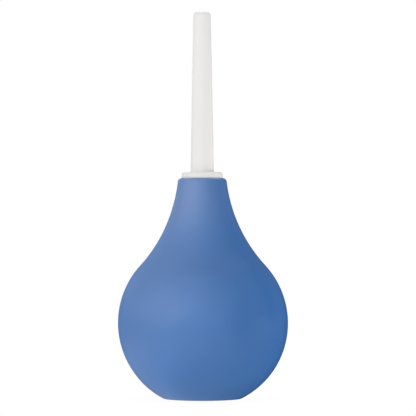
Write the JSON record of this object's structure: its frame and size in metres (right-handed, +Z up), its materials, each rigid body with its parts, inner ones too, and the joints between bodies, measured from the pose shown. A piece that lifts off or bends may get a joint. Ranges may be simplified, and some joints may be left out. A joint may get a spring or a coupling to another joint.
{
  "type": "bulb syringe",
  "caption": "Soft blue squeeze bulb on a flat foot, with a rigid white tapered nozzle whose collar rests on the neck's rim and whose ribbed plug pulls out of the neck.",
  "frame": {"origin": "on the bulb's axis, in the plane of its foot", "axes": "+Z up the axis from the foot to the nozzle's tip, -Y towards the viewer, +X to the viewer's right"},
  "size_m": [0.087, 0.087, 0.1978],
  "materials": {
    "soft_blue_vinyl": "satin",
    "white_polythene": "satin"
  },
  "bodies": {
    "bulb": {"bulb_body": "soft_blue_vinyl"},
    "neck": {"bulb_neck": "soft_blue_vinyl"},
    "nozzle": {"nozzle": "white_polythene"}
  },
  "joints": [
    {"name": "squeeze", "type": "slide", "parent": "bulb", "child": "neck", "axis": [0, 0, -1], "range_m": [0, 0.028], "stiffness_N_per_m": 1200, "deforming": ["bulb_body"]},
    {"name": "nozzle_pull", "type": "slide", "parent": "neck", "child": "nozzle", "axis": [0, 0, 1], "range_m": [0, 0.04]}
  ]
}
